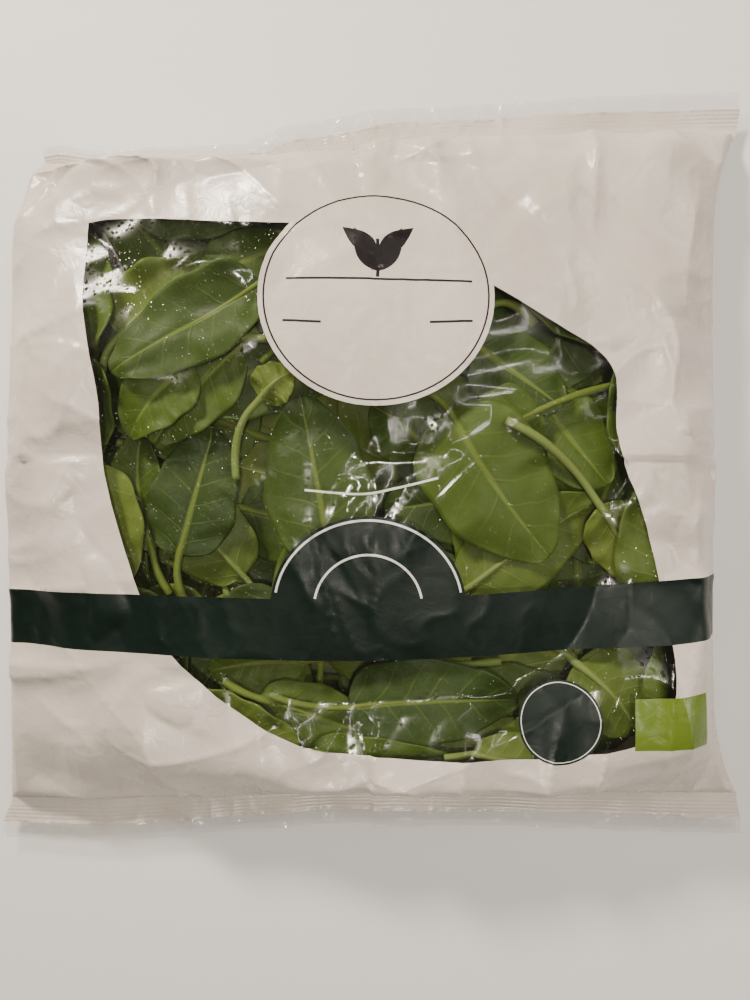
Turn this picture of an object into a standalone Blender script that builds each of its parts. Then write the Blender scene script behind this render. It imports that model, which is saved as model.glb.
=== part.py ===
"""A sealed pillow bag of loose spinach leaves, lying on its back.

The frame has X to the right across the bag, Y towards its top seal and Z up.
The origin is under the middle of the bag, on the surface that it lies on.
The bag is one tube of thin film, laid flat here as a front and a back panel
that meet along the side folds, closed by a seal at each end and by a fin seal
down its back. Inside it the leaves are laid one by one on a height field, so
each leaf rests on those below it and none cuts through another.
"""
import math

import bpy
import numpy as np

# The bag (metres).
BODY_HALF_LENGTH = 0.1220        # middle of the bag to the inner line of either end seal
SEAL_END = 0.1366                # middle of the bag to the outer edge of either seal
SEAL_HALF_WIDTH = 0.1350
TOP_SEAL_LEFT = -0.1240          # the top left corner is turned in
LEFT_SIDE = -0.1285              # the side folds at half length, where the filling pulls them in
RIGHT_SIDE = 0.1215
LEFT_FLARE = 0.0060              # how far the sides come back out towards the seals
RIGHT_FLARE = 0.0125
CROWN = 0.0440                   # top of the filled bag
SIDE_HEIGHT = 0.0130             # the side fold above the table, at half length
END_HEIGHT = 0.0050              # the end seal above the table, in its middle
CORNER_HEIGHT = 0.0035
FLAT_SHARE = 0.66                # the part of the back that lies flat on the table
FILM = 0.0005
GAP = 0.0003                     # clearance between neighbours
PANEL_LINES = (1.0, 0.975, 0.93, 0.87, 0.79, 0.69, 0.57, 0.45, 0.33, 0.22, 0.11)
EDGE_SHARE = 0.10                # share of the half body over which the front panel meets its edge
PANEL_REACH = 12                 # cells: the front panel bridges hollows narrower than this
SEAL_THICKNESS = 0.0008
SEAL_COLUMNS = 25
SEAL_ROWS = 7
CRIMP_HEIGHT = 0.0003
FIN_HALF_WIDTH = 0.0070
FIN_THICKNESS = 0.0005
FIN_END = 0.925                  # how far along the half body the fin seal runs
FIN_LAST_LINE = FIN_END + 0.01    # panel lines up to here belong to the fin's channel
CHANNEL_SLOPE = 0.0006           # width of the channel's slope on each side of the fin

# The leaves (metres).
FIELD_STEP = 0.0015              # cell of the height field
FIELD_HALF = 0.1440
LEAF_GAP = 0.0006                # clearance kept between two leaves
DRAPE_RADIUS = 3                 # cells: a leaf bridges hollows narrower than this
DRAPE_ROUNDING = 0.0010          # how softly a leaf bends where it meets the pile
DRAPE_SHARE = 45                 # percent of a leaf that keeps its own curl, clear of the pile
BLADE_THICKNESS = 0.0006
PETIOLE_STATIONS = 4
BLADE_STATIONS = 8
ACROSS = (-1.0, -0.5, 0.0, 0.5, 1.0)
LOWER_COUNT = 78                 # loose leaves under the ones that show in front
LOWER_STEP_KEPT = 3              # one in so many of them is a node of its own
DROP_TRIES = 7                   # places tried for each loose leaf, which takes the lowest
SEED = 20
POINT_PLACES = 5                 # decimals of a metre that mesh points keep

# The leaves that lie on top, in the order they are laid, in millimetres:
# blade base x, y; blade tip x, y; blade width; petiole end x, y (or none); side shown.
FRONT_LEAVES = (
    (-30, 74, -60, 61, 26, None, "top"),
    (22, 43, 36, 70, 40, None, "top"),
    (-30, 40, -4, 66, 40, None, "top"),
    (-76, -30, -80, 12, 20, (-70, -46), "top"),
    (-66, -32, -54, 12, 30, (-62, -52), "top"),
    (-14, -33, -24, 22, 38, (-8, -50), "top"),
    (20, 4, 0, 20, 26, (28, -8), "top"),
    (57, 22, 80, -8, 30, (40, 34), "top"),
    (36, 38, 64, 18, 28, (27, 50), "top"),
    (40, 52, 22, 43, 20, (55, 46), "top"),
    (-45, 38, -74, 6, 26, (-38, 44), "top"),
    (-37, 21, -26, 30, 15, (-46, -6), "under"),
    (32, -44, 76, -13, 30, (22, -56), "under"),
    (56, 17, 30, 5, 26, (82, 26), "top"),
    (26, 17, 60, -32, 42, (14, 26), "top"),
    (-60, 33, -82, 8, 24, (-34, 40), "top"),
    (76, -15, 92, -42, 21, (44, 13), "under"),
    (-86, 43, -58, 65, 28, (-92, 30), "under"),
    (-37, 59, -86, 29, 29, (-30, 64), "top"),
    (78, -60, 94, -86, 22, (72, -50), "top"),
    (88, -88, 60, -90, 22, (98, -86), "top"),
    (-22, -68, -56, -72, 24, (-12, -66), "top"),
    (34, -69, 0, -74, 24, (44, -68), "under"),
    (-38, -80, 8, -95, 22, (-50, -74), "top"),
    (58, -94, 18, -97, 19, (70, -92), "under"),
    (69, -68, 90, -92, 29, (42, -63), "under"),
    (-8, -83, 50, -81, 30, (-34, -78), "top"),
)


def clear_scene():
    """Remove every object that the file opened with."""
    for thing in list(bpy.data.objects):
        bpy.data.objects.remove(thing, do_unlink=True)


def smooth_step(value):
    """An S-curve from 0 to 1."""
    value = np.clip(value, 0.0, 1.0)
    return value * value * (3.0 - 2.0 * value)


# ---------------------------------------------------------------- the bag's form

def left_side(v):
    """The left fold's x at v, from -1 at the bottom seal to 1 at the top one."""
    return LEFT_SIDE + LEFT_FLARE * np.where(v > 0, v ** 4, -0.6 * v ** 4)


def right_side(v):
    """The right fold's x at v."""
    return RIGHT_SIDE + RIGHT_FLARE * np.abs(v) ** 6


def bag_x(u, v):
    """The x of the point u across (-1 to 1) and v along."""
    share = (u + 1.0) / 2.0
    return left_side(v) * (1.0 - share) + right_side(v) * share


def bag_uv(x, y):
    """The (u, v) of a point in plan, clipped to the bag."""
    v = np.clip(y / BODY_HALF_LENGTH, -1.0, 1.0)
    left = left_side(v)
    u = 2.0 * (x - left) / (right_side(v) - left) - 1.0
    return np.clip(u, -1.0, 1.0), v


def fold_height(u, v):
    """Height of the line where front and back meet, carried inwards over the bag."""
    end = CORNER_HEIGHT + (END_HEIGHT - CORNER_HEIGHT) * (1.0 - u ** 2)
    return end + (SIDE_HEIGHT - CORNER_HEIGHT) * (1.0 - v ** 4) * u ** 2


def back_height(u, v):
    """Underside of the back panel: flat in the middle, rising to the folds."""
    reach = (np.abs(u) ** 6 + np.abs(v) ** 6) ** (1.0 / 6.0)
    rise = np.clip((reach - FLAT_SHARE) / (1.0 - FLAT_SHARE), 0.0, 1.0) ** 1.7
    return fold_height(u, v) * rise


def pillow_height(u, v):
    """Underside of the front panel where no leaf lifts it."""
    dome = ((1.0 - np.abs(u) ** 2.6) * (1.0 - np.abs(v) ** 2.6)) ** 0.62
    fold = fold_height(u, v)
    return fold + (CROWN - fold) * dome


# ---------------------------------------------------------------- the height field

class Field:
    """Heights over the plan of the bag, on square cells."""

    def __init__(self):
        cells = int(round(2 * FIELD_HALF / FIELD_STEP)) + 1
        self.axis = np.linspace(-FIELD_HALF, FIELD_HALF, cells)
        self.x, self.y = np.meshgrid(self.axis, self.axis, indexing="ij")
        u, v = bag_uv(self.x, self.y)
        self.top = back_height(u, v) + FILM + 2 * GAP + 0.001

    def cell(self, points):
        """Fractional cell indices of plan points."""
        return np.clip((points + FIELD_HALF) / FIELD_STEP, 0, len(self.axis) - 1.001)

    def sample(self, heights, x, y):
        """Heights read between the cells."""
        i, j = self.cell(x), self.cell(y)
        a, b = i.astype(int), j.astype(int)
        s, t = i - a, j - b
        low = heights[a, b] * (1 - s) + heights[a + 1, b] * s
        high = heights[a, b + 1] * (1 - s) + heights[a + 1, b + 1] * s
        return low * (1 - t) + high * t


def spread(heights, radius):
    """Each cell takes the highest value within the radius."""
    out = heights.copy()
    for axis in (0, 1):
        wide = out.copy()
        for step in range(1, radius + 1):
            wide = np.maximum(wide, np.roll(out, step, axis))
            wide = np.maximum(wide, np.roll(out, -step, axis))
        out = wide
    return out


def blur(heights, radius):
    """A running mean over the radius, along both axes."""
    out = heights.copy()
    for axis in (0, 1):
        total = np.zeros_like(out)
        for step in range(-radius, radius + 1):
            total += np.roll(out, step, axis)
        out = total / (2 * radius + 1)
    return out


def envelope(heights, radius):
    """A smooth surface that lies on or over the heights."""
    half = max(1, radius // 2)
    return blur(blur(spread(heights, radius), half), radius - half)


def soft_max(a, b, width):
    """The higher of two heights, rounded where they cross."""
    return 0.5 * (a + b + np.sqrt((a - b) ** 2 + width ** 2))


# ---------------------------------------------------------------- a leaf in plan

def front_plan(row, rng):
    """The plan of one hand-placed leaf."""
    base = np.array(row[0:2]) / 1000.0
    tip = np.array(row[2:4]) / 1000.0
    end = None if row[5] is None else np.array(row[5]) / 1000.0
    return make_plan(base, tip, row[4] / 1000.0, end, row[6], rng)


def random_plan(rng):
    """The plan of a leaf dropped anywhere that keeps clear of the folds and seals."""
    while True:
        centre = rng.uniform((-0.100, -0.098), (0.094, 0.098))
        angle = rng.uniform(0.0, 2.0 * math.pi)
        length = rng.uniform(0.042, 0.062)
        width = length * rng.uniform(0.56, 0.74)
        along = np.array([math.cos(angle), math.sin(angle)])
        stalk = rng.uniform(0.014, 0.030)
        base = centre - along * length / 2
        tip = centre + along * length / 2
        end = base - along * stalk
        side = "top" if rng.random() < 0.7 else "under"
        reach = np.array([base, tip, end, centre])
        edge = np.array([-along[1], along[0]]) * width / 2
        reach = np.vstack([reach, centre + edge, centre - edge])
        inside = (reach[:, 0] > -0.113) & (reach[:, 0] < 0.106) & (np.abs(reach[:, 1]) < 0.106)
        if inside.all():
            return make_plan(base, tip, width, end, side, rng)


def lowest_plan(field, rng):
    """Of a few random places for a leaf, the one where the pile is lowest."""
    tries = [random_plan(rng) for _ in range(DROP_TRIES)]
    heights = []
    for plan in tries:
        spots = plan["centre"][PETIOLE_STATIONS:]
        heights.append(field.sample(field.top, spots[:, 0], spots[:, 1]).mean())
    return tries[int(np.argmin(heights))]


def make_plan(base, tip, width, end, side, rng):
    """Centre line, sideways direction and half width at each station of a leaf."""
    along = tip - base
    length = float(np.hypot(*along))
    along = along / length
    across = np.array([-along[1], along[0]])
    bow = rng.uniform(-0.06, 0.06) * length
    if end is None:
        end = base - along * 0.010
    stalk = np.linspace(0.0, 1.0, PETIOLE_STATIONS, endpoint=False)[:, None]
    reach = float(np.hypot(*(base - end)))
    bend = base - along * reach * 0.5
    petiole = (1 - stalk) ** 2 * end + 2 * stalk * (1 - stalk) * bend + stalk ** 2 * base
    s = np.linspace(0.0, 1.0, BLADE_STATIONS)
    s = 0.5 * (s + smooth_step(s))
    blade = base + np.outer(s * length, along) + np.outer(4 * s * (1 - s) * bow, across)
    centre = np.vstack([petiole, blade])
    tangent = np.gradient(centre, axis=0)
    tangent /= np.linalg.norm(tangent, axis=1)[:, None]
    sideways = np.column_stack([-tangent[:, 1], tangent[:, 0]])
    half = np.concatenate([np.zeros(PETIOLE_STATIONS), width / 2 * blade_outline(s)])
    petiole_radius = rng.uniform(0.0011, 0.0016)
    taper = np.concatenate([np.ones(PETIOLE_STATIONS), (1.0 - s) ** 1.2])
    return {"centre": centre, "sideways": sideways, "half": half, "side": side,
            "length": length, "width": width, "radius": petiole_radius * (0.25 + 0.75 * taper),
            "s": np.concatenate([stalk[:, 0] - 1.0, s]), "curl": curl_numbers(rng)}


def blade_outline(s):
    """Half width of a spinach blade as a share of its greatest."""
    p = s ** 0.72
    return np.maximum(1.0 - (2.0 * p - 1.0) ** 2, 0.0) ** 0.62


def curl_numbers(rng):
    """The few random numbers that shape a leaf's curl."""
    return {"arch": rng.uniform(-0.003, 0.006), "cup": rng.uniform(-0.004, 0.004),
            "twist": rng.uniform(-0.003, 0.003), "wave": rng.uniform(0.0004, 0.0014),
            "phase": rng.uniform(0.0, 6.28), "turns": rng.uniform(1.2, 2.2)}


def leaf_curl(plan, t):
    """Height of the free leaf at each station and at each t across."""
    curl = plan["curl"]
    s = np.clip(plan["s"], 0.0, 1.0)[:, None]
    t = np.asarray(t)[None, :]
    wide = (plan["half"] > 0)[:, None]
    height = curl["arch"] * 4 * s * (1 - s) + curl["cup"] * t ** 2 * wide
    height = height + curl["twist"] * t * (2 * s - 1) * wide
    ripple = np.sin(2 * math.pi * curl["turns"] * s * np.sign(t + 0.01) + curl["phase"])
    height = height + curl["wave"] * np.abs(t) * ripple * wide
    stalk_drop = np.clip(-plan["s"], 0.0, 1.0)[:, None] ** 1.5 * 0.003
    return height - stalk_drop


# ---------------------------------------------------------------- laying a leaf

def leaf_surfaces(plan, height):
    """Upper and lower surface points of a leaf, from its middle heights."""
    t = np.array(ACROSS)
    blade = (plan["half"] > 0)[:, None]
    radius = plan["radius"][:, None]
    reach = np.where(blade, plan["half"][:, None] * t[None, :], radius * np.sin(t * math.pi / 2)[None, :])
    x = plan["centre"][:, 0:1] + plan["sideways"][:, 0:1] * reach
    y = plan["centre"][:, 1:2] + plan["sideways"][:, 1:2] * reach
    skin = BLADE_THICKNESS / 2 * (1.0 - t[None, :] ** 2)
    rib = radius * (np.abs(t) < 0.1)[None, :]
    round_stalk = radius * np.cos(t * math.pi / 2)[None, :]
    above = np.where(blade, skin + 0.3 * rib, round_stalk)
    below = np.where(blade, skin + rib, round_stalk)
    top = np.dstack([x, y, height + above])
    bottom = np.dstack([x, y, height - below])
    return top, bottom


def facet_points(surface, steps=6):
    """Points all over the facets of a surface given as a grid."""
    a, b = surface[:-1, :-1], surface[1:, :-1]
    c, d = surface[1:, 1:], surface[:-1, 1:]
    out = []
    for i in range(steps + 1):
        for j in range(steps + 1 - i):
            p, q = i / steps, j / steps
            out.append((a + (c - a) * p + (d - a) * q).reshape(-1, 3))
            out.append((a + (b - a) * q + (c - a) * p).reshape(-1, 3))
    return np.vstack(out)


def lay_leaf(field, plan):
    """Give the leaf its height on the pile, and add it to the pile."""
    support = envelope(field.top, DRAPE_RADIUS)
    t = np.array(ACROSS)
    level = np.zeros((len(plan["centre"]), len(t)))
    top, bottom = leaf_surfaces(plan, level)
    under = field.sample(support, top[:, :, 0], top[:, :, 1]) - bottom[:, :, 2]
    free = leaf_curl(plan, t)
    lift = np.percentile(under - free, DRAPE_SHARE)
    height = soft_max(free + lift, under, DRAPE_ROUNDING)
    petiole = plan["half"] == 0
    height[petiole] = height[petiole].mean(axis=1)[:, None]
    top, bottom = leaf_surfaces(plan, height)
    spots = facet_points(bottom)
    pile = spread(field.top, 1)
    shortfall = LEAF_GAP - (spots[:, 2] - field.sample(pile, spots[:, 0], spots[:, 1])).min()
    height = height + max(0.0, shortfall)
    top, bottom = leaf_surfaces(plan, height)
    spots = facet_points(top)
    i = np.rint(field.cell(spots[:, 0])).astype(int)
    j = np.rint(field.cell(spots[:, 1])).astype(int)
    np.maximum.at(field.top, (i, j), spots[:, 2])
    return top, bottom


# ---------------------------------------------------------------- meshes

def material(name, colour, roughness, transmission=0.0):
    """A Principled material for one sub-part."""
    made = bpy.data.materials.new(name)
    made.use_nodes = True
    shader = made.node_tree.nodes["Principled BSDF"]
    shader.inputs["Base Color"].default_value = (*colour, 1.0)
    shader.inputs["Roughness"].default_value = roughness
    shader.inputs["Transmission Weight"].default_value = transmission
    return made


def add_object(name, points, faces, finish):
    """A named object from points, set on whole hundredths of a millimetre, and faces."""
    mesh = bpy.data.meshes.new(name)
    mesh.from_pydata(np.round(points, POINT_PLACES).tolist(), [], faces)
    mesh.update()
    mesh.materials.append(finish)
    thing = bpy.data.objects.new(name, mesh)
    bpy.context.scene.collection.objects.link(thing)
    return thing


def leaf_mesh(top, bottom):
    """A closed tube of eight-sided rings, from the stalk's end to the blade's tip."""
    inner = list(range(len(ACROSS) - 2, 0, -1))
    rings = [np.vstack([top[k], bottom[k][inner]]) for k in range(len(top) - 1)]
    size = len(rings[0])
    points = np.vstack(rings + [top[-1][2:3]])
    faces = [tuple(range(size))]
    for k in range(len(rings) - 1):
        for n in range(size):
            m = (n + 1) % size
            a, b = k * size + n, k * size + m
            c, d = a + size, b + size
            # both skins are cut along the same diagonal, so the thin blade can't cross itself
            faces += [(a, c, d), (a, d, b)] if n < len(ACROSS) - 1 else [(a, c, b), (b, c, d)]
    tip = len(points) - 1
    last = (len(rings) - 1) * size
    for n in range(size):
        faces.append((last + n, tip, last + (n + 1) % size))
    return points, faces


def slab_mesh(lower, upper):
    """A closed slab between two grids of points."""
    rows, columns = lower.shape[:2]
    points = np.vstack([lower.reshape(-1, 3), upper.reshape(-1, 3)])
    shift = rows * columns
    faces = []

    def at(r, c):
        return r * columns + c

    for r in range(rows - 1):
        for c in range(columns - 1):
            a, b, d, e = at(r, c), at(r, c + 1), at(r + 1, c), at(r + 1, c + 1)
            faces += [(a, d, e), (a, e, b)]
            faces += [(a + shift, e + shift, d + shift), (a + shift, b + shift, e + shift)]
    border = [at(0, c) for c in range(columns)]
    border += [at(r, columns - 1) for r in range(1, rows)]
    border += [at(rows - 1, c) for c in range(columns - 2, -1, -1)]
    border += [at(r, 0) for r in range(rows - 2, 0, -1)]
    for n, a in enumerate(border):
        b = border[(n + 1) % len(border)]
        faces.append((a, b, b + shift))
        faces.append((a, b + shift, a + shift))
    return points, faces


# ---------------------------------------------------------------- the pieces

def make_leaves(field):
    """Lay the whole filling and make the leaves that are nodes."""
    upper_finish = material("leaf_upper", (0.07, 0.17, 0.025), 0.45)
    under_finish = material("leaf_underside", (0.17, 0.28, 0.07), 0.6)
    rng = np.random.default_rng(SEED)
    laid = []
    for n in range(LOWER_COUNT):
        plan = lowest_plan(field, rng)
        surfaces = lay_leaf(field, plan)
        if n % LOWER_STEP_KEPT == 0:
            laid.append((f"leaf_inner_{n // LOWER_STEP_KEPT + 1:02d}", plan, surfaces))
    for n, row in enumerate(FRONT_LEAVES):
        plan = front_plan(row, rng)
        laid.append((f"leaf_front_{n + 1:02d}", plan, lay_leaf(field, plan)))
    for name, plan, (top, bottom) in laid:
        points, faces = leaf_mesh(top, bottom)
        finish = upper_finish if plan["side"] == "top" else under_finish
        add_object(name, points, faces, finish)


def make_panels(field):
    """The front panel over the pile, and the back panel under it."""
    film = material("film_front", (0.78, 0.76, 0.73), 0.3)
    back_film = material("film_back", (0.78, 0.76, 0.73), 0.35)
    lines = np.array(PANEL_LINES)
    lines = np.concatenate([-lines, [0.0], lines[::-1]])
    u, v = np.meshgrid(lines, lines)
    x, y = bag_x(u, v), v * BODY_HALF_LENGTH
    fold = fold_height(u, v)
    over = envelope(field.top, PANEL_REACH)
    lifted = np.maximum(pillow_height(u, v), field.sample(over, x, y) + LEAF_GAP)
    near = np.maximum(np.abs(u), np.abs(v))
    free = smooth_step((1.0 - near) / EDGE_SHARE)
    front = fold + (lifted - fold) * free + (pillow_height(u, v) - fold) * (1 - free) + GAP / 2
    points, faces = slab_mesh(np.dstack([x, y, front]), np.dstack([x, y, front + FILM]))
    add_object("film_front", points, faces, film)
    make_back_panel(back_film)


def make_back_panel(finish):
    """The back panel, with a shallow channel that the fin seal lies in."""
    lanes = FIN_HALF_WIDTH + CHANNEL_SLOPE * np.array([2.0, 1.0])
    outer = np.array(PANEL_LINES)
    v = np.concatenate([-outer, [0.0], outer[::-1]])
    rows = []
    for value in v:
        left_lanes = bag_uv(-lanes, value * BODY_HALF_LENGTH)[0]
        right_lanes = bag_uv(lanes[::-1], value * BODY_HALF_LENGTH)[0]
        rows.append(np.concatenate([-outer, left_lanes, right_lanes, outer[::-1]]))
    u = np.array(rows)
    v = v[:, None] * np.ones((1, u.shape[1]))
    x, y = bag_x(u, v), v * BODY_HALF_LENGTH
    over_fin = (np.abs(x) < FIN_HALF_WIDTH + 1.5 * CHANNEL_SLOPE) & (np.abs(v) < FIN_LAST_LINE)
    low = np.maximum(back_height(u, v) - GAP / 2 - FILM, 0.0)
    low = low + over_fin * (FIN_THICKNESS + GAP)
    points, faces = slab_mesh(np.dstack([x, y, low]), np.dstack([x, y, low + FILM]))
    add_object("film_back", points, faces, finish)
    make_fin_seal(v[:, 0], finish)


def make_fin_seal(lines, finish):
    """The folded seal down the back, under the channel in the back panel."""
    lines = np.clip(lines[np.abs(lines) < FIN_LAST_LINE], -FIN_END, FIN_END)
    x, y = np.meshgrid((-FIN_HALF_WIDTH, 0.0, FIN_HALF_WIDTH), lines * BODY_HALF_LENGTH)
    u, v = bag_uv(x, y)
    low = np.maximum(back_height(u, v) - GAP / 2 - FILM, 0.0)
    points, faces = slab_mesh(np.dstack([x, y, low]), np.dstack([x, y, low + FIN_THICKNESS]))
    add_object("fin_seal", points, faces, finish)


def make_end_seal(name, end, finish):
    """One crimped end seal; end is 1 at the top and -1 at the bottom."""
    share = np.linspace(0.0, 1.0, SEAL_ROWS)[:, None] * np.ones((1, SEAL_COLUMNS))
    u = np.linspace(-1.0, 1.0, SEAL_COLUMNS)[None, :] * np.ones((SEAL_ROWS, 1))
    inner = bag_x(u, np.full_like(u, float(end)))
    left = TOP_SEAL_LEFT if end > 0 else -SEAL_HALF_WIDTH
    outer = left + (SEAL_HALF_WIDTH - left) * (u + 1.0) / 2.0
    x = inner + (outer - inner) * smooth_step(share * 1.5)
    y = end * (BODY_HALF_LENGTH + GAP + share * (SEAL_END - BODY_HALF_LENGTH - GAP))
    ribs = CRIMP_HEIGHT * (np.arange(SEAL_ROWS) % 2)[:, None]
    z = fold_height(u, np.ones_like(u)) + ribs - SEAL_THICKNESS / 2
    lower, upper = np.dstack([x, y, z]), np.dstack([x, y, z + SEAL_THICKNESS])
    points, faces = slab_mesh(lower, upper) if end > 0 else slab_mesh(lower[::-1], upper[::-1])
    add_object(name, points, faces, finish)


def main():
    """Build the whole bag."""
    clear_scene()
    field = Field()
    make_leaves(field)
    make_panels(field)
    clear_film = material("film_clear", (0.85, 0.85, 0.85), 0.12, 0.8)
    make_end_seal("top_seal", 1, clear_film)
    make_end_seal("bottom_seal", -1, clear_film)
    print("pile top", round(float(field.top.max()) * 1000, 1), "mm")


main()
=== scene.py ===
"""Looks of a sealed, printed pillow bag of loose spinach leaves.

The leaves are laid by the same seeded rules as the CAD solids, so each fine
leaf lies where its solid lies. The film is a fine creased sheet over the pile,
cut along the outlines of its print into pieces that follow one surface.
"""
import math

import bpy
import numpy as np
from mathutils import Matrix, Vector
from mathutils.geometry import delaunay_2d_cdt


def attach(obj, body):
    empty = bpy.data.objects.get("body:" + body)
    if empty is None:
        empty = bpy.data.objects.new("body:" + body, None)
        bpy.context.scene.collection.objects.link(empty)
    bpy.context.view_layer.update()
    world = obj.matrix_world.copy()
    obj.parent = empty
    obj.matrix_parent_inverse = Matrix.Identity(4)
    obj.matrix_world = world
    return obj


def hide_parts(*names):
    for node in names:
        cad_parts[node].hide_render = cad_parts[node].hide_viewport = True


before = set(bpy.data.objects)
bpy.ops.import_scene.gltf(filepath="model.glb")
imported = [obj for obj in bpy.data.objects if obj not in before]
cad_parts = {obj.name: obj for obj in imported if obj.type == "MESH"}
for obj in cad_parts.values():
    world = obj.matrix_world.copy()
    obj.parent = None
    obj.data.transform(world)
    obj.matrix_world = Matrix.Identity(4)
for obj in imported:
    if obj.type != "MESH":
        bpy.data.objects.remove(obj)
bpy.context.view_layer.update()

MM = 0.001

# The bag and its filling, in metres. These and the functions down to lay_leaf are the CAD model's.
BODY_HALF_LENGTH = 0.1220
SEAL_END = 0.1366
SEAL_HALF_WIDTH = 0.1350
TOP_SEAL_LEFT = -0.1240
LEFT_SIDE, RIGHT_SIDE = -0.1285, 0.1215
LEFT_FLARE, RIGHT_FLARE = 0.0060, 0.0125
CROWN = 0.0440
SIDE_HEIGHT, END_HEIGHT, CORNER_HEIGHT = 0.0130, 0.0050, 0.0035
FLAT_SHARE = 0.66
FILM = 0.0005
GAP = 0.0003
FIN_HALF_WIDTH = 0.0070
FIELD_STEP = 0.0015
FIELD_HALF = 0.1440
LEAF_GAP = 0.0006
DRAPE_RADIUS = 3
DRAPE_ROUNDING = 0.0010
DRAPE_SHARE = 45
BLADE_THICKNESS = 0.0006
PETIOLE_STATIONS = 4
BLADE_STATIONS = 8
ACROSS = (-1.0, -0.5, 0.0, 0.5, 1.0)
LOWER_COUNT = 78
LOWER_STEP_KEPT = 3
DROP_TRIES = 7
SEED = 20

# The look alone: grids, print and camera.
FINE_GRID, COARSE_GRID = (46, 25), (22, 13)   # rows and columns of a leaf blade
FINE_FROM = 0.45                 # the leaves after this share of the loose ones have the fine grid
STALK_SIDES = 10
SIDE_VEINS = 6.5                 # side veins along a blade, each swept back by VEIN_SWEEP
VEIN_SWEEP = 0.17
FRONT_LINES, BACK_LINES = 215, 150
BADGE_X, BADGE_Y = 1.6, 54.0     # millimetres, like all places on the print
ARCH_X, ARCH_Y = -1.0, -48.0
LABEL_X, LABEL_Y = 61.9, -86.0
SEAL_GRID = (34, 420)
FIN_GRID = (160, 13)
FLOOR_HALF = 1.6
CAMERA_PLACE = (0.0012, -0.0130, 0.32)
SENSOR, LENS = 36.0, 41.232      # millimetres

# The leaves that lie on top, in the order they are laid, in millimetres:
# blade base x, y; blade tip x, y; blade width; petiole end x, y (or none); side shown.
FRONT_LEAVES = (
    (-30, 74, -60, 61, 26, None, "top"),
    (22, 43, 36, 70, 40, None, "top"),
    (-30, 40, -4, 66, 40, None, "top"),
    (-76, -30, -80, 12, 20, (-70, -46), "top"),
    (-66, -32, -54, 12, 30, (-62, -52), "top"),
    (-14, -33, -24, 22, 38, (-8, -50), "top"),
    (20, 4, 0, 20, 26, (28, -8), "top"),
    (57, 22, 80, -8, 30, (40, 34), "top"),
    (36, 38, 64, 18, 28, (27, 50), "top"),
    (40, 52, 22, 43, 20, (55, 46), "top"),
    (-45, 38, -74, 6, 26, (-38, 44), "top"),
    (-37, 21, -26, 30, 15, (-46, -6), "under"),
    (32, -44, 76, -13, 30, (22, -56), "under"),
    (56, 17, 30, 5, 26, (82, 26), "top"),
    (26, 17, 60, -32, 42, (14, 26), "top"),
    (-60, 33, -82, 8, 24, (-34, 40), "top"),
    (76, -15, 92, -42, 21, (44, 13), "under"),
    (-86, 43, -58, 65, 28, (-92, 30), "under"),
    (-37, 59, -86, 29, 29, (-30, 64), "top"),
    (78, -60, 94, -86, 22, (72, -50), "top"),
    (88, -88, 60, -90, 22, (98, -86), "top"),
    (-22, -68, -56, -72, 24, (-12, -66), "top"),
    (34, -69, 0, -74, 24, (44, -68), "under"),
    (-38, -80, 8, -95, 22, (-50, -74), "top"),
    (58, -94, 18, -97, 19, (70, -92), "under"),
    (69, -68, 90, -92, 29, (42, -63), "under"),
    (-8, -83, 50, -81, 30, (-34, -78), "top"),
)


def smooth_step(value):
    """An S-curve from 0 to 1."""
    value = np.clip(value, 0.0, 1.0)
    return value * value * (3.0 - 2.0 * value)


def unit(rows):
    """The rows, each scaled to length one."""
    return rows / np.linalg.norm(rows, axis=1)[:, None]


def left_side(v):
    """The left fold's x at v, from -1 at the bottom seal to 1 at the top one."""
    return LEFT_SIDE + LEFT_FLARE * np.where(v > 0, v ** 4, -0.6 * v ** 4)


def right_side(v):
    """The right fold's x at v."""
    return RIGHT_SIDE + RIGHT_FLARE * np.abs(v) ** 6


def bag_x(u, v):
    """The x of the point u across (-1 to 1) and v along."""
    share = (u + 1.0) / 2.0
    return left_side(v) * (1.0 - share) + right_side(v) * share


def bag_uv(x, y):
    """The (u, v) of a point in plan, clipped to the bag."""
    v = np.clip(y / BODY_HALF_LENGTH, -1.0, 1.0)
    left = left_side(v)
    u = 2.0 * (x - left) / (right_side(v) - left) - 1.0
    return np.clip(u, -1.0, 1.0), v


def fold_height(u, v):
    """Height of the line where front and back meet, carried inwards over the bag."""
    end = CORNER_HEIGHT + (END_HEIGHT - CORNER_HEIGHT) * (1.0 - u ** 2)
    return end + (SIDE_HEIGHT - CORNER_HEIGHT) * (1.0 - v ** 4) * u ** 2


def back_height(u, v):
    """Underside of the back panel: flat in the middle, rising to the folds."""
    reach = (np.abs(u) ** 6 + np.abs(v) ** 6) ** (1.0 / 6.0)
    rise = np.clip((reach - FLAT_SHARE) / (1.0 - FLAT_SHARE), 0.0, 1.0) ** 1.7
    return fold_height(u, v) * rise


def pillow_height(u, v):
    """Underside of the front panel where no leaf lifts it."""
    dome = ((1.0 - np.abs(u) ** 2.6) * (1.0 - np.abs(v) ** 2.6)) ** 0.62
    fold = fold_height(u, v)
    return fold + (CROWN - fold) * dome


# ---- the height field

def read_between(table, i, j, s, t):
    """The table's value at the shares s, t of the cell (i, j)."""
    low = table[i, j] * (1 - s) + table[i + 1, j] * s
    high = table[i, j + 1] * (1 - s) + table[i + 1, j + 1] * s
    return low * (1 - t) + high * t


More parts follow.
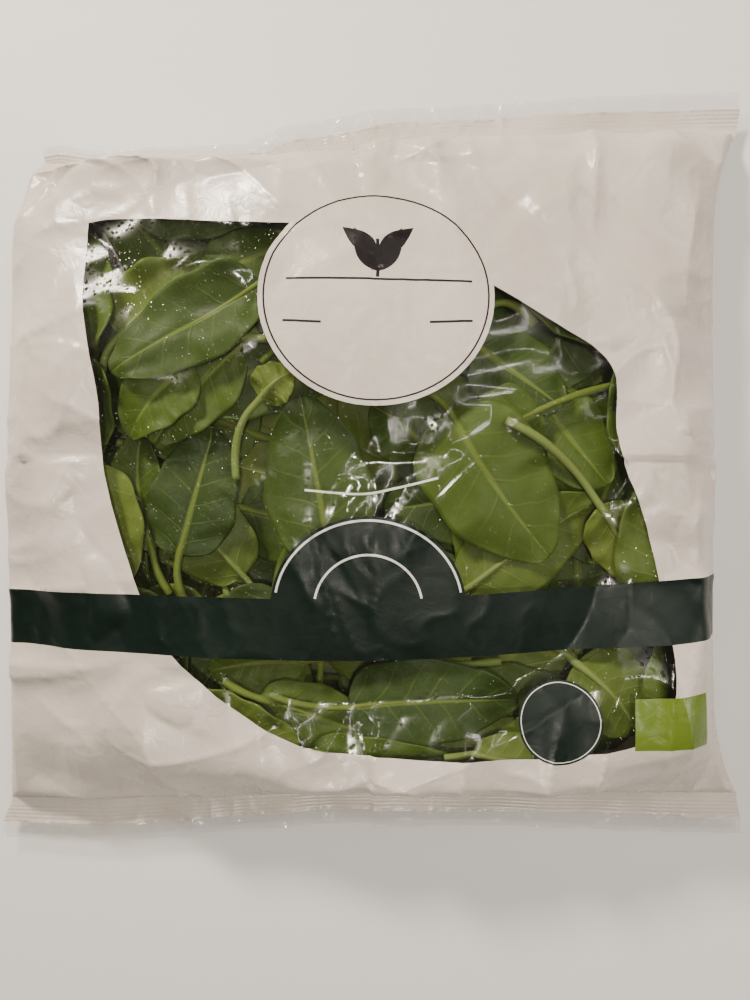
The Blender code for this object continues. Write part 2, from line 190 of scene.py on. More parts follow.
class Field:
    """Heights over the plan of the bag, on square cells."""

    def __init__(self):
        cells = int(round(2 * FIELD_HALF / FIELD_STEP)) + 1
        self.axis = np.linspace(-FIELD_HALF, FIELD_HALF, cells)
        self.x, self.y = np.meshgrid(self.axis, self.axis, indexing="ij")
        u, v = bag_uv(self.x, self.y)
        self.top = back_height(u, v) + FILM + 2 * GAP + 0.001

    def cell(self, points):
        """Fractional cell indices of plan points."""
        return np.clip((points + FIELD_HALF) / FIELD_STEP, 0, len(self.axis) - 1.001)

    def sample(self, heights, x, y):
        """Heights read between the cells."""
        i, j = self.cell(x), self.cell(y)
        a, b = i.astype(int), j.astype(int)
        return read_between(heights, a, b, i - a, j - b)

    def pile_up(self, points):
        """Raise the top of the pile to these points."""
        i, j = (np.rint(self.cell(points[..., k])).astype(int) for k in (0, 1))
        np.maximum.at(self.top, (i, j), points[..., 2])


def spread(heights, radius):
    """Each cell takes the highest value within the radius."""
    out = heights.copy()
    for axis in (0, 1):
        wide = out.copy()
        for step in range(1, radius + 1):
            wide = np.maximum(wide, np.roll(out, step, axis))
            wide = np.maximum(wide, np.roll(out, -step, axis))
        out = wide
    return out


def blur(heights, radius):
    """A running mean over the radius, along both axes."""
    out = heights.copy()
    for axis in (0, 1):
        total = np.zeros_like(out)
        for step in range(-radius, radius + 1):
            total += np.roll(out, step, axis)
        out = total / (2 * radius + 1)
    return out


def envelope(heights, radius):
    """A smooth surface that lies on or over the heights."""
    half = max(1, radius // 2)
    return blur(blur(spread(heights, radius), half), radius - half)


def soft_max(a, b, width):
    """The higher of two heights, rounded where they cross."""
    return 0.5 * (a + b + np.sqrt((a - b) ** 2 + width ** 2))


# ---- a leaf in plan

def front_plan(row, rng):
    """The plan of one listed leaf."""
    base = np.array(row[0:2]) / 1000.0
    tip = np.array(row[2:4]) / 1000.0
    end = None if row[5] is None else np.array(row[5]) / 1000.0
    return make_plan(base, tip, row[4] / 1000.0, end, row[6], rng)


def random_plan(rng):
    """The plan of a leaf dropped anywhere that keeps clear of the folds and seals."""
    while True:
        centre = rng.uniform((-0.100, -0.098), (0.094, 0.098))
        angle = rng.uniform(0.0, 2.0 * math.pi)
        length = rng.uniform(0.042, 0.062)
        width = length * rng.uniform(0.56, 0.74)
        along = np.array([math.cos(angle), math.sin(angle)])
        stalk = rng.uniform(0.014, 0.030)
        base = centre - along * length / 2
        tip = centre + along * length / 2
        end = base - along * stalk
        side = "top" if rng.random() < 0.7 else "under"
        edge = np.array([-along[1], along[0]]) * width / 2
        reach = np.vstack([base, tip, end, centre, centre + edge, centre - edge])
        inside = (reach[:, 0] > -0.113) & (reach[:, 0] < 0.106) & (np.abs(reach[:, 1]) < 0.106)
        if inside.all():
            return make_plan(base, tip, width, end, side, rng)


def lowest_plan(field, rng):
    """Of a few random places for a leaf, the one where the pile is lowest."""
    tries = [random_plan(rng) for _ in range(DROP_TRIES)]
    heights = []
    for plan in tries:
        spots = plan["centre"][PETIOLE_STATIONS:]
        heights.append(field.sample(field.top, spots[:, 0], spots[:, 1]).mean())
    return tries[int(np.argmin(heights))]


def make_plan(base, tip, width, end, side, rng):
    """Centre line, sideways direction and half width at each station of a leaf."""
    along = tip - base
    length = float(np.hypot(*along))
    along = along / length
    across = np.array([-along[1], along[0]])
    bow = rng.uniform(-0.06, 0.06) * length
    if end is None:
        end = base - along * 0.010
    stalk = np.linspace(0.0, 1.0, PETIOLE_STATIONS, endpoint=False)[:, None]
    reach = float(np.hypot(*(base - end)))
    bend = base - along * reach * 0.5
    petiole = (1 - stalk) ** 2 * end + 2 * stalk * (1 - stalk) * bend + stalk ** 2 * base
    s = np.linspace(0.0, 1.0, BLADE_STATIONS)
    s = 0.5 * (s + smooth_step(s))
    blade = base + np.outer(s * length, along) + np.outer(4 * s * (1 - s) * bow, across)
    centre = np.vstack([petiole, blade])
    tangent = unit(np.gradient(centre, axis=0))
    sideways = np.column_stack([-tangent[:, 1], tangent[:, 0]])
    half = np.concatenate([np.zeros(PETIOLE_STATIONS), width / 2 * blade_outline(s)])
    petiole_radius = rng.uniform(0.0011, 0.0016)
    taper = np.concatenate([np.ones(PETIOLE_STATIONS), (1.0 - s) ** 1.2])
    return {"centre": centre, "sideways": sideways, "half": half, "side": side,
            "length": length, "width": width, "radius": petiole_radius * (0.25 + 0.75 * taper),
            "s": np.concatenate([stalk[:, 0] - 1.0, s]), "curl": curl_numbers(rng)}


def blade_outline(s):
    """Half width of a spinach blade as a share of its greatest."""
    p = s ** 0.72
    return np.maximum(1.0 - (2.0 * p - 1.0) ** 2, 0.0) ** 0.62


def curl_numbers(rng):
    """The few random numbers that shape a leaf's curl."""
    return {"arch": rng.uniform(-0.003, 0.006), "cup": rng.uniform(-0.004, 0.004),
            "twist": rng.uniform(-0.003, 0.003), "wave": rng.uniform(0.0004, 0.0014),
            "phase": rng.uniform(0.0, 6.28), "turns": rng.uniform(1.2, 2.2)}


def leaf_curl(plan, t):
    """Height of the free leaf at each station and at each t across."""
    curl = plan["curl"]
    s = np.clip(plan["s"], 0.0, 1.0)[:, None]
    t = np.asarray(t)[None, :]
    wide = (plan["half"] > 0)[:, None]
    height = curl["arch"] * 4 * s * (1 - s) + curl["cup"] * t ** 2 * wide
    height = height + curl["twist"] * t * (2 * s - 1) * wide
    ripple = np.sin(2 * math.pi * curl["turns"] * s * np.sign(t + 0.01) + curl["phase"])
    height = height + curl["wave"] * np.abs(t) * ripple * wide
    stalk_drop = np.clip(-plan["s"], 0.0, 1.0)[:, None] ** 1.5 * 0.003
    return height - stalk_drop


# ---- laying a leaf

def beside(centre, sideways, reach):
    """The x and the y of points this far sideways from a centre line."""
    return (centre[:, k:k + 1] + sideways[:, k:k + 1] * reach for k in (0, 1))


def leaf_surfaces(plan, height):
    """Upper and lower surface points of a leaf, from its middle heights."""
    t = np.array(ACROSS)
    blade = (plan["half"] > 0)[:, None]
    radius = plan["radius"][:, None]
    reach = np.where(blade, plan["half"][:, None] * t[None, :], radius * np.sin(t * math.pi / 2)[None, :])
    x, y = beside(plan["centre"], plan["sideways"], reach)
    skin = BLADE_THICKNESS / 2 * (1.0 - t[None, :] ** 2)
    rib = radius * (np.abs(t) < 0.1)[None, :]
    round_stalk = radius * np.cos(t * math.pi / 2)[None, :]
    above = np.where(blade, skin + 0.3 * rib, round_stalk)
    below = np.where(blade, skin + rib, round_stalk)
    top = np.dstack([x, y, height + above])
    bottom = np.dstack([x, y, height - below])
    return top, bottom


def facet_points(surface, steps=6):
    """Points all over the facets of a surface given as a grid."""
    a, b = surface[:-1, :-1], surface[1:, :-1]
    c, d = surface[1:, 1:], surface[:-1, 1:]
    out = []
    for i in range(steps + 1):
        for j in range(steps + 1 - i):
            p, q = i / steps, j / steps
            out.append((a + (c - a) * p + (d - a) * q).reshape(-1, 3))
            out.append((a + (b - a) * q + (c - a) * p).reshape(-1, 3))
    return np.vstack(out)


def lay_leaf(field, plan):
    """Give the leaf its height on the pile, and add it to the pile."""
    support = envelope(field.top, DRAPE_RADIUS)
    t = np.array(ACROSS)
    level = np.zeros((len(plan["centre"]), len(t)))
    top, bottom = leaf_surfaces(plan, level)
    under = field.sample(support, top[:, :, 0], top[:, :, 1]) - bottom[:, :, 2]
    free = leaf_curl(plan, t)
    lift = np.percentile(under - free, DRAPE_SHARE)
    height = soft_max(free + lift, under, DRAPE_ROUNDING)
    petiole = plan["half"] == 0
    height[petiole] = height[petiole].mean(axis=1)[:, None]
    top, bottom = leaf_surfaces(plan, height)
    spots = facet_points(bottom)
    pile = spread(field.top, 1)
    shortfall = LEAF_GAP - (spots[:, 2] - field.sample(pile, spots[:, 0], spots[:, 1])).min()
    height = height + max(0.0, shortfall)
    top, bottom = leaf_surfaces(plan, height)
    field.pile_up(facet_points(top))
    return height


# ---- noise and outlines

def value_noise(x, y, seed, cell):
    """Smooth noise from -1 to 1, with features about one cell across."""
    rng = np.random.default_rng(seed)
    table = rng.uniform(-1.0, 1.0, (256, 256))
    i, j = np.floor(x / cell), np.floor(y / cell)
    s, t = smooth_step(x / cell - i), smooth_step(y / cell - j)
    return read_between(table, i.astype(int) % 255, j.astype(int) % 255, s, t)


def folds(x, y, seed, cell):
    """Sharp-crested folds from 0 to 1, bent by a slower noise."""
    bent_x = x + cell * 0.9 * value_noise(x, y, seed + 1, cell * 2.1)
    bent_y = y + cell * 0.9 * value_noise(x, y, seed + 2, cell * 2.1)
    return 1.0 - np.sqrt(np.abs(value_noise(bent_x, bent_y, seed, cell)) + 0.002)


def curve_between(a, b, c, d, t):
    """The smooth curve from b to c, with neighbours a and d, at the share t."""
    return 0.5 * (2 * b + (c - a) * t + (2 * a - 5 * b + 4 * c - d) * t ** 2
                  + (3 * b - a - 3 * c + d) * t ** 3)


def spline(points, closed=True, steps=8):
    """A smooth curve through points; a point given twice is a corner."""
    p = np.array(points, float) * MM
    count = len(p)
    out = []
    for k in range(count if closed else count - 1):
        if closed:
            a, b, c, d = (p[(k + n) % count] for n in (-1, 0, 1, 2))
        else:
            a, b, c, d = (p[min(max(k + n, 0), count - 1)] for n in (-1, 0, 1, 2))
        if np.allclose(b, c):
            continue
        a = b if np.allclose(a, b) else a
        d = c if np.allclose(c, d) else d
        for t in np.linspace(0, 1, steps, endpoint=False):
            out.append(curve_between(a, b, c, d, t))
    if not closed:
        out.append(p[-1])
    return np.array(out)


def ellipse(x, y, rx, ry, start=0.0, stop=360.0, steps=72):
    """Points along an ellipse, in metres from millimetres and degrees."""
    angle = np.radians(np.linspace(start, stop, steps, endpoint=stop - start < 360))
    return np.column_stack([x + rx * np.cos(angle), y + ry * np.sin(angle)]) * MM


def stroke(line, width):
    """The outline of a line of this width (metres)."""
    tangent = unit(np.gradient(line, axis=0))
    side = np.column_stack([-tangent[:, 1], tangent[:, 0]]) * width / 2
    return np.vstack([line + side, (line - side)[::-1]])


def split_long(outline, longest=0.0015):
    """The outline with points added on its long straight stretches."""
    out = []
    for a, b in zip(outline, np.roll(outline, -1, axis=0)):
        parts = max(1, int(np.ceil(np.linalg.norm(b - a) / longest)))
        out += [a + (b - a) * k / parts for k in range(parts)]
    return np.array(out)


def inside(points, outline):
    """Which points are inside a closed outline."""
    x, y = points[:, 0], points[:, 1]
    hit = np.zeros(len(points), bool)
    for (ax, ay), (bx, by) in zip(outline, np.roll(outline, -1, axis=0)):
        if ay == by:
            continue
        cross = ((ay > y) != (by > y)) & (x < (bx - ax) * (y - ay) / (by - ay) + ax)
        hit ^= cross
    return hit


# ---- materials

def node_material(name):
    """A new node material with its Principled shader and a maker of wired nodes."""
    made = bpy.data.materials.new(name)
    made.use_nodes = True
    tree = made.node_tree
    shader = tree.nodes["Principled BSDF"]

    def node(kind, inputs=(), **settings):
        new = tree.nodes.new(kind)
        for key, value in settings.items():
            setattr(new, key, value)
        for key, value in dict(inputs).items():
            if isinstance(value, bpy.types.NodeSocket):
                tree.links.new(value, new.inputs[key])
            else:
                new.inputs[key].default_value = value
        return new

    return made, tree, shader, node


def ramp(node, factor, stops):
    """A colour ramp over a factor."""
    made = node("ShaderNodeValToRGB", {0: factor})
    ramp_stops = made.color_ramp.elements
    while len(ramp_stops) < len(stops):
        ramp_stops.new(0.5)
    for element, (place, colour) in zip(ramp_stops, stops):
        element.position = place
        element.color = (*colour, 1.0)
    return made.outputs[0]


def maths(node, operation, a, b=0.0, clamp=False):
    """One Math node."""
    made = node("ShaderNodeMath", {0: a, 1: b}, operation=operation)
    made.use_clamp = clamp
    return made.outputs[0]


def rescaled(node, value, low, high, start, end):
    """A value carried from the range low to high into the range start to end."""
    return node("ShaderNodeMapRange", {0: value, 1: low, 2: high, 3: start, 4: end}).outputs[0]


def noise(node, place, scale, detail, **more):
    """Noise over a place."""
    inputs = {"Vector": place, "Scale": scale, "Detail": detail, **more}
    return node("ShaderNodeTexNoise", inputs).outputs[0]


def bumped(node, shader, height, strength, distance, sockets=("Normal",)):
    """Bump the shader by a height."""
    made = node("ShaderNodeBump", {"Height": height, "Strength": strength, "Distance": distance})
    for socket in sockets:
        made.id_data.links.new(made.outputs[0], shader.inputs[socket])


def mixed(node, factor, under, over):
    """A plain colour mixed over a colour that comes from a node."""
    inputs = {0: factor, 6: under, 7: (*over, 1.0)}
    return node("ShaderNodeMix", inputs, data_type="RGBA").outputs[2]


def set_inputs(shader, values):
    """Constant values for inputs of a shader."""
    for name, value in values.items():
        shader.inputs[name].default_value = value


def film_material(name, light, dark, roughness, crinkle, specular=0.55):
    """Thin printed film: satin, slightly mottled, finely crinkled."""
    made, tree, shader, node = node_material(name)
    place = node("ShaderNodeTexCoord").outputs["Object"]
    mottle = noise(node, place, 28.0, 5.0, Roughness=0.55)
    colour = ramp(node, mottle, ((0.32, dark), (0.68, light)))
    tree.links.new(colour, shader.inputs["Base Color"])
    fine = noise(node, place, 170.0, 4.0, Distortion=0.8)
    rough = rescaled(node, fine, 0.3, 0.7, roughness - 0.07, roughness + 0.09)
    tree.links.new(rough, shader.inputs["Roughness"])
    bumped(node, shader, fine, crinkle, 0.0006)
    shader.inputs["Specular IOR Level"].default_value = specular
    return made


def clear_material(name, alpha, roughness, tint, droplets):
    """Clear film: gloss over what lies behind it, dotted with condensation."""
    made, tree, shader, node = node_material(name)
    place = node("ShaderNodeTexCoord").outputs["Object"]
    set_inputs(shader, {"Base Color": (*tint, 1.0), "Alpha": alpha, "IOR": 1.5,
                        "Specular IOR Level": 0.65, "Coat Weight": 0.5, "Coat Roughness": 0.06})
    cells = node("ShaderNodeTexVoronoi", {"Vector": place, "Scale": 520.0}).outputs["Distance"]
    dots = rescaled(node, cells, 0.10, 0.34, 1.0, 0.0)
    patch = rescaled(node, noise(node, place, 34.0, 3.0), 0.36, 0.56, 0.0, 1.0)
    height = maths(node, "MULTIPLY", dots, patch)
    bumped(node, shader, height, droplets, 0.0005, ("Normal", "Coat Normal"))
    rough = rescaled(node, patch, 0.0, 1.0, roughness, roughness + 0.15)
    tree.links.new(rough, shader.inputs["Roughness"])
    return made


def leaf_material(name, deep, fresh, vein, vein_strength):
    """A spinach blade: smooth, mottled, with a pale midrib and curved side veins."""
    made, tree, shader, node = node_material(name)
    place = node("ShaderNodeTexCoord").outputs["Object"]
    st = node("ShaderNodeAttribute", attribute_name="leaf_st").outputs["Vector"]
    tone = node("ShaderNodeAttribute", attribute_name="tone").outputs["Fac"]
    parts = node("ShaderNodeSeparateXYZ", {0: st})
    s, across, width = parts.outputs

    def op(kind, first, second=0.0):
        return maths(node, kind, first, second)

    side = op("ABSOLUTE", across)
    bent = op("SUBTRACT", s, op("MULTIPLY", op("POWER", side, 0.8), VEIN_SWEEP))
    bent = op("ADD", bent, op("MULTIPLY", noise(node, place, 55.0, 2.0), 0.10))
    shifted = op("ADD", bent, op("MULTIPLY", op("SIGN", across), 0.035))
    phase = op("FRACT", op("MULTIPLY", shifted, SIDE_VEINS))
    away = op("ABSOLUTE", op("SUBTRACT", phase, 0.5))
    lateral = rescaled(node, away, 0.015, 0.075, 1.0, 0.0)
    lateral = op("MULTIPLY", lateral, rescaled(node, side, 0.35, 0.95, 1.0, 0.15))
    rib = rescaled(node, op("DIVIDE", side, op("ADD", width, 0.02)), 0.35, 1.0, 1.0, 0.0)
    net = node("ShaderNodeTexVoronoi", {"Vector": place, "Scale": 260.0},
               feature="DISTANCE_TO_EDGE").outputs[0]
    net = rescaled(node, net, 0.0, 0.10, 1.0, 0.0)
    mottle = noise(node, place, 60.0, 4.0)
    shade = op("ADD", op("MULTIPLY", mottle, 0.5), op("MULTIPLY", tone, 0.75))
    shade = maths(node, "SUBTRACT", shade, 0.12, True)
    blade = ramp(node, shade, ((0.0, deep), (1.0, fresh)))
    blade = mixed(node, op("MULTIPLY", net, 0.07), blade, vein)
    blade = mixed(node, op("MULTIPLY", lateral, vein_strength), blade, vein)
    colour = mixed(node, op("MULTIPLY", rib, 0.85), blade, vein)
    tree.links.new(colour, shader.inputs["Base Color"])
    grooves = op("ADD", op("MULTIPLY", lateral, -0.35), op("MULTIPLY", net, -0.08))
    grooves = op("ADD", grooves, op("MULTIPLY", mottle, 0.6))
    bumped(node, shader, grooves, 0.40, 0.0005)
    rough = rescaled(node, mottle, 0.3, 0.7, 0.48, 0.64)
    tree.links.new(rough, shader.inputs["Roughness"])
    set_inputs(shader, {"Specular IOR Level": 0.32, "Subsurface Weight": 0.12,
                        "Subsurface Radius": (0.0006, 0.0012, 0.0003), "Subsurface Scale": 1.0})
    return made


# ---- adding pieces

def add_object(name, data):
    """A new object in the scene."""
    made = bpy.data.objects.new(name, data)
    bpy.context.scene.collection.objects.link(made)
    return made


def add_piece(name, points, faces, finish, replaced=()):
    """A mesh piece that rides on the bag and may stand for CAD nodes."""
    mesh = bpy.data.meshes.new(name)
    mesh.from_pydata(np.asarray(points).tolist(), [], [tuple(map(int, f)) for f in faces])
    mesh.update()
    mesh.materials.append(finish)
    mesh.shade_smooth()
    piece = add_object(name, mesh)
    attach(piece, "root")
    for node in replaced:
        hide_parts(node)
    return piece


def grid_faces(rows, columns, start=0, ring=False):
    """Quads of a grid; ring closes it across its columns."""
    faces = []
    for r in range(rows - 1):
        for c in range(columns if ring else columns - 1):
            a, b = start + r * columns + c, start + r * columns + (c + 1) % columns
            faces.append((a, b, b + columns, a + columns))
    return faces


def two_skins(rows, columns):
    """Faces of an upper grid and of a lower one that follows it and looks down."""
    faces = grid_faces(rows, columns)
    return faces + [tuple(rows * columns + k for k in reversed(f)) for f in faces]


def add_cut(name, points, faces, finish, node):
    """The part of a surface that has these faces, standing for a CAD node."""
    used, again = np.unique(faces, return_inverse=True)
    add_piece(name, points[used], again.reshape(faces.shape), finish, (node,))


def film_lines(count):
    """Grid lines from -1 to 1 that close up towards the edges."""
    even = np.linspace(-1, 1, count)
    return np.sin(even * math.pi / 2) * 0.45 + even * 0.55


def set_attribute(piece, name, values):
    """A point attribute on a piece's mesh: a vector or a number for each point."""
    kind, field = ("FLOAT_VECTOR", "vector") if values.ndim == 2 else ("FLOAT", "value")
    made = piece.data.attributes.new(name, kind, "POINT")
    made.data.foreach_set(field, values.ravel())


# ---- leaves

def cubic_read(table, at, axis=0):
    """Catmull-Rom reading of a table at fractional places along an axis."""
    table = np.moveaxis(table, axis, 0)
    last = len(table) - 1
    i = np.clip(np.floor(at).astype(int), 0, last - 1)
    t = (at - i).reshape((-1,) + (1,) * (table.ndim - 1))
    a, b = table[np.maximum(i - 1, 0)], table[i]
    c, d = table[i + 1], table[np.minimum(i + 2, last)]
    return np.moveaxis(curve_between(a, b, c, d, t), 0, axis)


def fine_blade(plan, height, rows, columns, seed):
    """Points, leaf coordinates and the midrib of a fine blade."""
    rng = np.random.default_rng(seed)
    stations = plan["s"]
    fine_s = np.linspace(0.004, 0.997, rows)
    at = np.interp(fine_s, stations, np.arange(len(stations)))
    centre = cubic_read(plan["centre"], at)
    sideways = cubic_read(plan["sideways"], at)
    t = np.linspace(-1.0, 1.0, columns)
    level = cubic_read(cubic_read(height, at), (t + 1.0) * 2.0, axis=1)
    left, right = (1.0 + 0.035 * np.sin(fine_s * rng.uniform(14, 22) + rng.uniform(0, 6)) for _ in (0, 1))
    half = plan["width"] / 2 * blade_outline(fine_s)
    reach = half[:, None] * t[None, :]
    reach = reach * np.where(t < 0, left[:, None], right[:, None])
    reach = np.sign(reach) * np.maximum(np.abs(reach), 0.0009 * np.abs(t)[None, :])
    x, y = beside(centre, sideways, reach)
    up = 1.0 if plan["side"] == "top" else -1.0
    side = np.abs(t)[None, :]
    swept = fine_s[:, None] - VEIN_SWEEP * side ** 0.8 + 0.035 * np.sign(t)[None, :]
    phase = (swept + 0.05) * SIDE_VEINS
    puff = np.cos(2 * math.pi * phase) * smooth_step(side * 3) * (1 - side ** 3)
    crease = np.exp(-(reach / 0.0014) ** 2)
    quilt = value_noise(x, y, seed, 0.0045) * 0.00035 + value_noise(x, y, seed + 5, 0.011) * 0.0006
    z = level + up * (0.00010 * puff - 0.0006 * crease) + quilt * smooth_step(side * 2)
    ruffle = np.sin(fine_s[:, None] * rng.uniform(18, 30) + 2.0 * np.sign(t)[None, :])
    z = z + 0.0006 * side ** 3 * ruffle
    rib = plan["radius"].max() * (1.0 - fine_s) ** 0.9 / np.maximum(half, 0.001)
    coordinates = np.dstack([np.repeat(fine_s[:, None], columns, 1),
                             np.repeat(t[None, :], rows, 0), np.repeat(rib[:, None], columns, 1)])
    blade = np.dstack([x, y, z])
    return blade, coordinates, blade[:, columns // 2]


def stalk_points(plan, height, spine, sides=STALK_SIDES):
    """Rings of the stalk and of the midrib that runs on under the blade."""
    stations = plan["s"]
    fine = np.linspace(-1.0, 0.0, 16, endpoint=False)
    at = np.interp(fine, stations, np.arange(len(stations)))
    centre = cubic_read(plan["centre"], at)
    level = cubic_read(height[:, 2], at)
    path = np.column_stack([centre, level])
    keep = spine[: int(len(spine) * 0.86): 2].copy()
    sink = -1.0 if plan["side"] == "top" else 1.0
    share = np.linspace(0.0, 1.0, len(keep))
    radius = plan["radius"].max() * np.concatenate([
        1.0 + 0.10 * np.sin(np.linspace(0, 5, len(path))), 1.0 - 0.82 * share ** 0.8])
    keep[:, 2] += sink * radius[len(path):] * (0.35 if sink < 0 else 0.15) * smooth_step(share * 4)
    path = np.vstack([path, keep])
    path[:, 2] = np.convolve(np.pad(path[:, 2], 2, "edge"), np.ones(5) / 5, "valid")
    tangent = unit(np.gradient(path, axis=0))
    side = unit(np.cross(tangent, (0.0, 0.0, 1.0)))
    up = np.cross(side, tangent)
    angle = np.linspace(0, 2 * math.pi, sides, endpoint=False)
    flute = 1.0 - 0.10 * np.exp(-((np.cos(angle / 2 - math.pi / 4)) ** 2) / 0.05)
    ring = (side[:, None] * np.cos(angle)[None, :, None]
            + up[:, None] * 0.92 * np.sin(angle)[None, :, None]) * flute[None, :, None]
    return path[:, None] + ring * radius[:, None, None]


def make_leaf(name, plan, height, finish, seed, fine, replaced):
    """One leaf: a thin blade and its round stalk."""
    rows, columns = FINE_GRID if fine else COARSE_GRID
    blade, coordinates, spine = fine_blade(plan, height, rows, columns, seed)
    normal = np.zeros_like(blade)
    normal[:, :, 2] = BLADE_THICKNESS / 2
    shell = np.vstack([(blade + normal).reshape(-1, 3), (blade - normal).reshape(-1, 3)])
    size = rows * columns
    faces = two_skins(rows, columns)
    numbers = np.arange(size).reshape(rows, columns)
    border = [*numbers[0], *numbers[1:, -1], *numbers[-1, -2::-1], *numbers[-2:0:-1, 0]]
    for a, b in zip(border, border[1:] + border[:1]):
        faces.append((b, a, a + size, b + size))
    stalk = stalk_points(plan, height, spine)
    rings, sides = stalk.shape[:2]
    start = len(shell)
    faces += grid_faces(rings, sides, start, ring=True)
    faces.append(tuple(start + k for k in reversed(range(sides))))
    faces.append(tuple(start + (rings - 1) * sides + k for k in range(sides)))
    points = draw_in(np.vstack([shell, stalk.reshape(-1, 3)]))
    st = np.vstack([coordinates.reshape(-1, 3), coordinates.reshape(-1, 3),
                    np.tile((0.2, 0.0, 3.0), (rings * sides, 1))])
    piece = add_piece(name, points, faces, finish, replaced)
    set_attribute(piece, "leaf_st", st)
    tone = np.random.default_rng(seed + 900).uniform(0.0, 1.0)
    set_attribute(piece, "tone", np.full(len(points), tone))


# Leaves pressed up to the film just inside the window's edge, as rows like FRONT_LEAVES.
EDGE_LEAVES = (
    (-101, 34, -99, 80, 28, None, "top"), (-84, 92, -34, 90, 30, None, "top"),
    (-99, 36, -101, -6, 27, None, "top"), (-97, -2, -88, -46, 27, None, "under"),
    (-88, -44, -66, -86, 26, None, "top"), (-64, -82, -24, -95, 20, None, "under"),
    (-20, -97, 26, -99, 18, None, "top"), (34, -98, 74, -97, 18, None, "under"),
    (99, -94, 100, -56, 24, None, "top"), (100, -52, 92, -8, 26, None, "under"),
    (90, 0, 88, 40, 24, None, "top"), (84, 44, 44, 62, 24, None, "top"))


def press_up(field, plan, height):
    """Lift a leaf until it is just under the film, and add it to the pile."""
    top, _ = leaf_surfaces(plan, height)
    room = pillow_height(*bag_uv(top[:, :, 0], top[:, :, 1])) - top[:, :, 2]
    height = height + max(0.0, room.min() - 0.0015)
    top, _ = leaf_surfaces(plan, height)
    field.pile_up(top)
    return height


def make_leaves(field):
    """Lay the filling exactly as the CAD model does, and model each leaf finely."""
    upper = leaf_material("leaf_upper", (0.022, 0.050, 0.004), (0.085, 0.140, 0.009),
                          (0.16, 0.22, 0.030), 0.24)
    under = leaf_material("leaf_underside", (0.075, 0.120, 0.010), (0.150, 0.205, 0.024),
                          (0.21, 0.28, 0.070), 0.24)
    rng = np.random.default_rng(SEED)
    laid = []
    for n in range(LOWER_COUNT):
        plan = lowest_plan(field, rng)
        laid.append((f"leaf_inner_{n // LOWER_STEP_KEPT + 1:02d}", n % LOWER_STEP_KEPT, plan,
                     lay_leaf(field, plan)))
    for n, row in enumerate(FRONT_LEAVES):
        plan = front_plan(row, rng)
        laid.append((f"leaf_front_{n + 1:02d}", 0, plan, lay_leaf(field, plan)))
    for n, row in enumerate(EDGE_LEAVES):
        plan = front_plan(row, rng)
        laid.append((f"leaf_edge_{n + 1:02d}", 3, plan, press_up(field, plan, lay_leaf(field, plan))))
    for number, (node, spare, plan, height) in enumerate(laid):
        name = f"{node}_look" if spare == 0 else f"{node}_spare_{spare}"
        finish, slot = (upper, "leaf_upper") if plan["side"] == "top" else (under, "leaf_underside")
        if node.startswith("leaf_inner"):
            slot = "leaf_upper"
        fine = number > LOWER_COUNT * FINE_FROM
        make_leaf(name, plan, height, finish, 40 + number, fine, () if spare else (node,))


# ---- the front film

# Creases seen on the front: points in millimetres, height, and width of the fold in millimetres.
CREASES = (
    (((18, 116), (54, 82)), -3.2, 9.0),
    (((54, 82), (72, 95)), 1.6, 6.0),
    (((114, 99), (110, 80), (107, 64), (106, 47)), 3.2, 8.0),
    (((106, 47), (88, 36), (76, 25), (43, 5), (22, -13), (8, -32)), 1.9, 7.0),
    (((-97, 112), (-113, 94)), -2.6, 7.0),
    (((-97, 112), (-80, 96), (-66, 70)), 1.2, 8.0),
    (((-100, 66), (-96, 40), (-104, 10)), 1.3, 7.0),
    (((-48, -70), (-58, -92)), 1.4, 5.0),
    (((9, -99), (-14, -112), (-60, -117)), 1.6, 7.0),
    (((118, -98), (96, -112), (60, -116)), -2.2, 8.0),
    (((100, 112), (84, 92), (70, 95)), 1.4, 6.0),
    (((0, 108), (8, 96), (30, 84)), -1.0, 6.0),
    (((-30, 56), (6, 74), (30, 50)), 0.7, 5.0),
    (((112, -10), (100, -24), (108, -44)), -1.4, 7.0),
    (((-118, -80), (-96, -96), (-92, -116)), 1.8, 8.0),
)


# The one sharp crest across the window: its points, its height and its half width in millimetres.
CREST = ((84, 29), (76, 24), (60, 16), (43, 5), (30, -5), (20, -16), (11, -30))
CREST_HEIGHT = 0.7
CREST_WIDTH = 1.5


def near_line(x, y, points):
    """Distance to a smooth line, and how far from its ends the nearest point is."""
    line = spline(points, closed=False, steps=6)
    nearest = np.full_like(x, 1.0)
    along = np.zeros_like(x)
    for k in range(len(line) - 1):
        ax, ay = line[k]
        dx, dy = line[k + 1] - line[k]
        t = np.clip(((x - ax) * dx + (y - ay) * dy) / (dx * dx + dy * dy), 0.0, 1.0)
        distance = np.hypot(x - ax - t * dx, y - ay - t * dy)
        closer = distance < nearest
        nearest = np.where(closer, distance, nearest)
        along = np.where(closer, (k + t) / (len(line) - 1), along)
    return nearest, np.clip(np.minimum(along, 1 - along) * 5, 0.15, 1.0)


def crease_height(x, y):
    """The sum of the listed creases, each a fold that dies away."""
    total = np.zeros_like(x)
    for points, height, width in CREASES:
        nearest, taper = near_line(x, y, points)
        total += height * MM * taper * np.exp(-nearest / (width * MM))
    return total


def crest_height(x, y):
    """The sharp crest across the window."""
    nearest, taper = near_line(x, y, CREST)
    return CREST_HEIGHT * MM * taper * np.exp(-(nearest / (CREST_WIDTH * MM)) ** 2)


